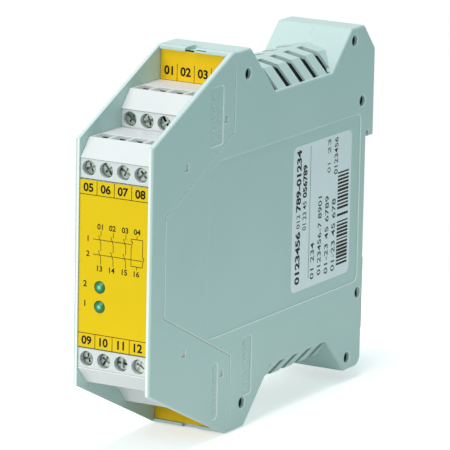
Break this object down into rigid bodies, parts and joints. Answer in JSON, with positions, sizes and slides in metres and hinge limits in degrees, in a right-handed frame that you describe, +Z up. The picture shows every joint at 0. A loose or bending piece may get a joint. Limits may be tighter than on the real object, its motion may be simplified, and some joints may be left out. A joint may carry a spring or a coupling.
{
  "type": "safety relay",
  "caption": "Slim DIN-rail safety relay with stepped screw terminals above and below a yellow front label, two indicator lights, vents and a sprung rail foot.",
  "frame": {"origin": "centre of the rail seat, on the back of the housing, level with the middle of the 35 mm rail", "axes": "+X across the module to the right seen from the front, +Y from the front towards the rail, +Z up"},
  "size_m": [0.0226, 0.1145, 0.099],
  "materials": {
    "housing_plastic": "fine matt moulding",
    "block_plastic": "fine matt moulding",
    "label_film": "printed film, satin",
    "rating_film": "metallised film, satin",
    "light_green": "clear tinted plastic",
    "led_white": "moulded",
    "board_green": "solder mask",
    "pin_black": "moulded",
    "relay_case": "moulded",
    "sleeve": "shrunk sleeve",
    "fuse_case": "moulded",
    "chip_case": "moulded",
    "foot_plastic": "fine matt moulding",
    "spring_steel": "drawn wire",
    "screw_steel": "zinc plated",
    "cage_steel": "zinc plated",
    "contact_brass": "tinned"
  },
  "bodies": {
    "housing": {"rear_housing": "housing_plastic", "front_cover": "housing_plastic", "front_label": "label_film", "upper_marker": "label_film", "lower_marker": "label_film", "rating_label": "rating_film", "upper_light_guide": "light_green", "lower_light_guide": "light_green", "status_leds": "led_white", "terminal_board": "board_green", "main_board": "board_green", "board_header": "pin_black", "upper_relay": "relay_case", "lower_relay": "relay_case", "supply_capacitor": "sleeve", "fuse": "fuse_case", "logic_chips": "chip_case", "foot_spring": "spring_steel", "upper_rear_block": "block_plastic", "upper_front_block": "block_plastic", "lower_front_block": "block_plastic", "lower_rear_block": "block_plastic", "upper_rear_contacts": "contact_brass", "upper_front_contacts": "contact_brass", "lower_front_contacts": "contact_brass", "lower_rear_contacts": "contact_brass"},
    "foot": {"foot_latch": "foot_plastic"},
    "screw_01": {"clamp_screw_01": "screw_steel"},
    "cage_01": {"clamp_cage_01": "cage_steel"},
    "screw_02": {"clamp_screw_02": "screw_steel"},
    "cage_02": {"clamp_cage_02": "cage_steel"},
    "screw_03": {"clamp_screw_03": "screw_steel"},
    "cage_03": {"clamp_cage_03": "cage_steel"},
    "screw_04": {"clamp_screw_04": "screw_steel"},
    "cage_04": {"clamp_cage_04": "cage_steel"},
    "screw_05": {"clamp_screw_05": "screw_steel"},
    "cage_05": {"clamp_cage_05": "cage_steel"},
    "screw_06": {"clamp_screw_06": "screw_steel"},
    "cage_06": {"clamp_cage_06": "cage_steel"},
    "screw_07": {"clamp_screw_07": "screw_steel"},
    "cage_07": {"clamp_cage_07": "cage_steel"},
    "screw_08": {"clamp_screw_08": "screw_steel"},
    "cage_08": {"clamp_cage_08": "cage_steel"},
    "screw_09": {"clamp_screw_09": "screw_steel"},
    "cage_09": {"clamp_cage_09": "cage_steel"},
    "screw_10": {"clamp_screw_10": "screw_steel"},
    "cage_10": {"clamp_cage_10": "cage_steel"},
    "screw_11": {"clamp_screw_11": "screw_steel"},
    "cage_11": {"clamp_cage_11": "cage_steel"},
    "screw_12": {"clamp_screw_12": "screw_steel"},
    "cage_12": {"clamp_cage_12": "cage_steel"},
    "screw_13": {"clamp_screw_13": "screw_steel"},
    "cage_13": {"clamp_cage_13": "cage_steel"},
    "screw_14": {"clamp_screw_14": "screw_steel"},
    "cage_14": {"clamp_cage_14": "cage_steel"},
    "screw_15": {"clamp_screw_15": "screw_steel"},
    "cage_15": {"clamp_cage_15": "cage_steel"},
    "screw_16": {"clamp_screw_16": "screw_steel"},
    "cage_16": {"clamp_cage_16": "cage_steel"}
  },
  "joints": [
    {"name": "foot_slide", "type": "slide", "parent": "housing", "child": "foot", "axis": [0, 0, -1], "range_m": [0, 0.004], "stiffness_N_per_m": 1500, "springref_m": -0.002, "deforming": ["foot_spring"]},
    {"name": "screw_01_turn", "type": "hinge", "parent": "housing", "child": "screw_01", "pos_m": [-0.0075, -0.0908, 0.0335], "axis": [0, 1, 0], "range_deg": [0, 1730]},
    {"name": "cage_01_rise", "type": "slide", "parent": "housing", "child": "cage_01", "axis": [0, -1, 0], "range_m": [0, 0.00216]},
    {"name": "screw_02_turn", "type": "hinge", "parent": "housing", "child": "screw_02", "pos_m": [-0.0025, -0.0908, 0.0335], "axis": [0, 1, 0], "range_deg": [0, 1730]},
    {"name": "cage_02_rise", "type": "slide", "parent": "housing", "child": "cage_02", "axis": [0, -1, 0], "range_m": [0, 0.00216]},
    {"name": "screw_03_turn", "type": "hinge", "parent": "housing", "child": "screw_03", "pos_m": [0.0025, -0.0908, 0.0335], "axis": [0, 1, 0], "range_deg": [0, 1730]},
    {"name": "cage_03_rise", "type": "slide", "parent": "housing", "child": "cage_03", "axis": [0, -1, 0], "range_m": [0, 0.00216]},
    {"name": "screw_04_turn", "type": "hinge", "parent": "housing", "child": "screw_04", "pos_m": [0.0075, -0.0908, 0.0335], "axis": [0, 1, 0], "range_deg": [0, 1730]},
    {"name": "cage_04_rise", "type": "slide", "parent": "housing", "child": "cage_04", "axis": [0, -1, 0], "range_m": [0, 0.00216]},
    {"name": "screw_05_turn", "type": "hinge", "parent": "housing", "child": "screw_05", "pos_m": [-0.0075, -0.10995, 0.0243], "axis": [0, 1, 0], "range_deg": [0, 1730]},
    {"name": "cage_05_rise", "type": "slide", "parent": "housing", "child": "cage_05", "axis": [0, -1, 0], "range_m": [0, 0.00216]},
    {"name": "screw_06_turn", "type": "hinge", "parent": "housing", "child": "screw_06", "pos_m": [-0.0025, -0.10995, 0.0243], "axis": [0, 1, 0], "range_deg": [0, 1730]},
    {"name": "cage_06_rise", "type": "slide", "parent": "housing", "child": "cage_06", "axis": [0, -1, 0], "range_m": [0, 0.00216]},
    {"name": "screw_07_turn", "type": "hinge", "parent": "housing", "child": "screw_07", "pos_m": [0.0025, -0.10995, 0.0243], "axis": [0, 1, 0], "range_deg": [0, 1730]},
    {"name": "cage_07_rise", "type": "slide", "parent": "housing", "child": "cage_07", "axis": [0, -1, 0], "range_m": [0, 0.00216]},
    {"name": "screw_08_turn", "type": "hinge", "parent": "housing", "child": "screw_08", "pos_m": [0.0075, -0.10995, 0.0243], "axis": [0, 1, 0], "range_deg": [0, 1730]},
    {"name": "cage_08_rise", "type": "slide", "parent": "housing", "child": "cage_08", "axis": [0, -1, 0], "range_m": [0, 0.00216]},
    {"name": "screw_09_turn", "type": "hinge", "parent": "housing", "child": "screw_09", "pos_m": [-0.0075, -0.10995, -0.0243], "axis": [0, 1, 0], "range_deg": [0, 1730]},
    {"name": "cage_09_rise", "type": "slide", "parent": "housing", "child": "cage_09", "axis": [0, -1, 0], "range_m": [0, 0.00216]},
    {"name": "screw_10_turn", "type": "hinge", "parent": "housing", "child": "screw_10", "pos_m": [-0.0025, -0.10995, -0.0243], "axis": [0, 1, 0], "range_deg": [0, 1730]},
    {"name": "cage_10_rise", "type": "slide", "parent": "housing", "child": "cage_10", "axis": [0, -1, 0], "range_m": [0, 0.00216]},
    {"name": "screw_11_turn", "type": "hinge", "parent": "housing", "child": "screw_11", "pos_m": [0.0025, -0.10995, -0.0243], "axis": [0, 1, 0], "range_deg": [0, 1730]},
    {"name": "cage_11_rise", "type": "slide", "parent": "housing", "child": "cage_11", "axis": [0, -1, 0], "range_m": [0, 0.00216]},
    {"name": "screw_12_turn", "type": "hinge", "parent": "housing", "child": "screw_12", "pos_m": [0.0075, -0.10995, -0.0243], "axis": [0, 1, 0], "range_deg": [0, 1730]},
    {"name": "cage_12_rise", "type": "slide", "parent": "housing", "child": "cage_12", "axis": [0, -1, 0], "range_m": [0, 0.00216]},
    {"name": "screw_13_turn", "type": "hinge", "parent": "housing", "child": "screw_13", "pos_m": [-0.0075, -0.0908, -0.0335], "axis": [0, 1, 0], "range_deg": [0, 1730]},
    {"name": "cage_13_rise", "type": "slide", "parent": "housing", "child": "cage_13", "axis": [0, -1, 0], "range_m": [0, 0.00216]},
    {"name": "screw_14_turn", "type": "hinge", "parent": "housing", "child": "screw_14", "pos_m": [-0.0025, -0.0908, -0.0335], "axis": [0, 1, 0], "range_deg": [0, 1730]},
    {"name": "cage_14_rise", "type": "slide", "parent": "housing", "child": "cage_14", "axis": [0, -1, 0], "range_m": [0, 0.00216]},
    {"name": "screw_15_turn", "type": "hinge", "parent": "housing", "child": "screw_15", "pos_m": [0.0025, -0.0908, -0.0335], "axis": [0, 1, 0], "range_deg": [0, 1730]},
    {"name": "cage_15_rise", "type": "slide", "parent": "housing", "child": "cage_15", "axis": [0, -1, 0], "range_m": [0, 0.00216]},
    {"name": "screw_16_turn", "type": "hinge", "parent": "housing", "child": "screw_16", "pos_m": [0.0075, -0.0908, -0.0335], "axis": [0, 1, 0], "range_deg": [0, 1730]},
    {"name": "cage_16_rise", "type": "slide", "parent": "housing", "child": "cage_16", "axis": [0, -1, 0], "range_m": [0, 0.00216]}
  ],
  "couplings": [
    {"joint": "screw_01_turn", "follows": "cage_01_rise", "rad_per_m": 13963},
    {"joint": "screw_02_turn", "follows": "cage_02_rise", "rad_per_m": 13963},
    {"joint": "screw_03_turn", "follows": "cage_03_rise", "rad_per_m": 13963},
    {"joint": "screw_04_turn", "follows": "cage_04_rise", "rad_per_m": 13963},
    {"joint": "screw_05_turn", "follows": "cage_05_rise", "rad_per_m": 13963},
    {"joint": "screw_06_turn", "follows": "cage_06_rise", "rad_per_m": 13963},
    {"joint": "screw_07_turn", "follows": "cage_07_rise", "rad_per_m": 13963},
    {"joint": "screw_08_turn", "follows": "cage_08_rise", "rad_per_m": 13963},
    {"joint": "screw_09_turn", "follows": "cage_09_rise", "rad_per_m": 13963},
    {"joint": "screw_10_turn", "follows": "cage_10_rise", "rad_per_m": 13963},
    {"joint": "screw_11_turn", "follows": "cage_11_rise", "rad_per_m": 13963},
    {"joint": "screw_12_turn", "follows": "cage_12_rise", "rad_per_m": 13963},
    {"joint": "screw_13_turn", "follows": "cage_13_rise", "rad_per_m": 13963},
    {"joint": "screw_14_turn", "follows": "cage_14_rise", "rad_per_m": 13963},
    {"joint": "screw_15_turn", "follows": "cage_15_rise", "rad_per_m": 13963},
    {"joint": "screw_16_turn", "follows": "cage_16_rise", "rad_per_m": 13963}
  ]
}
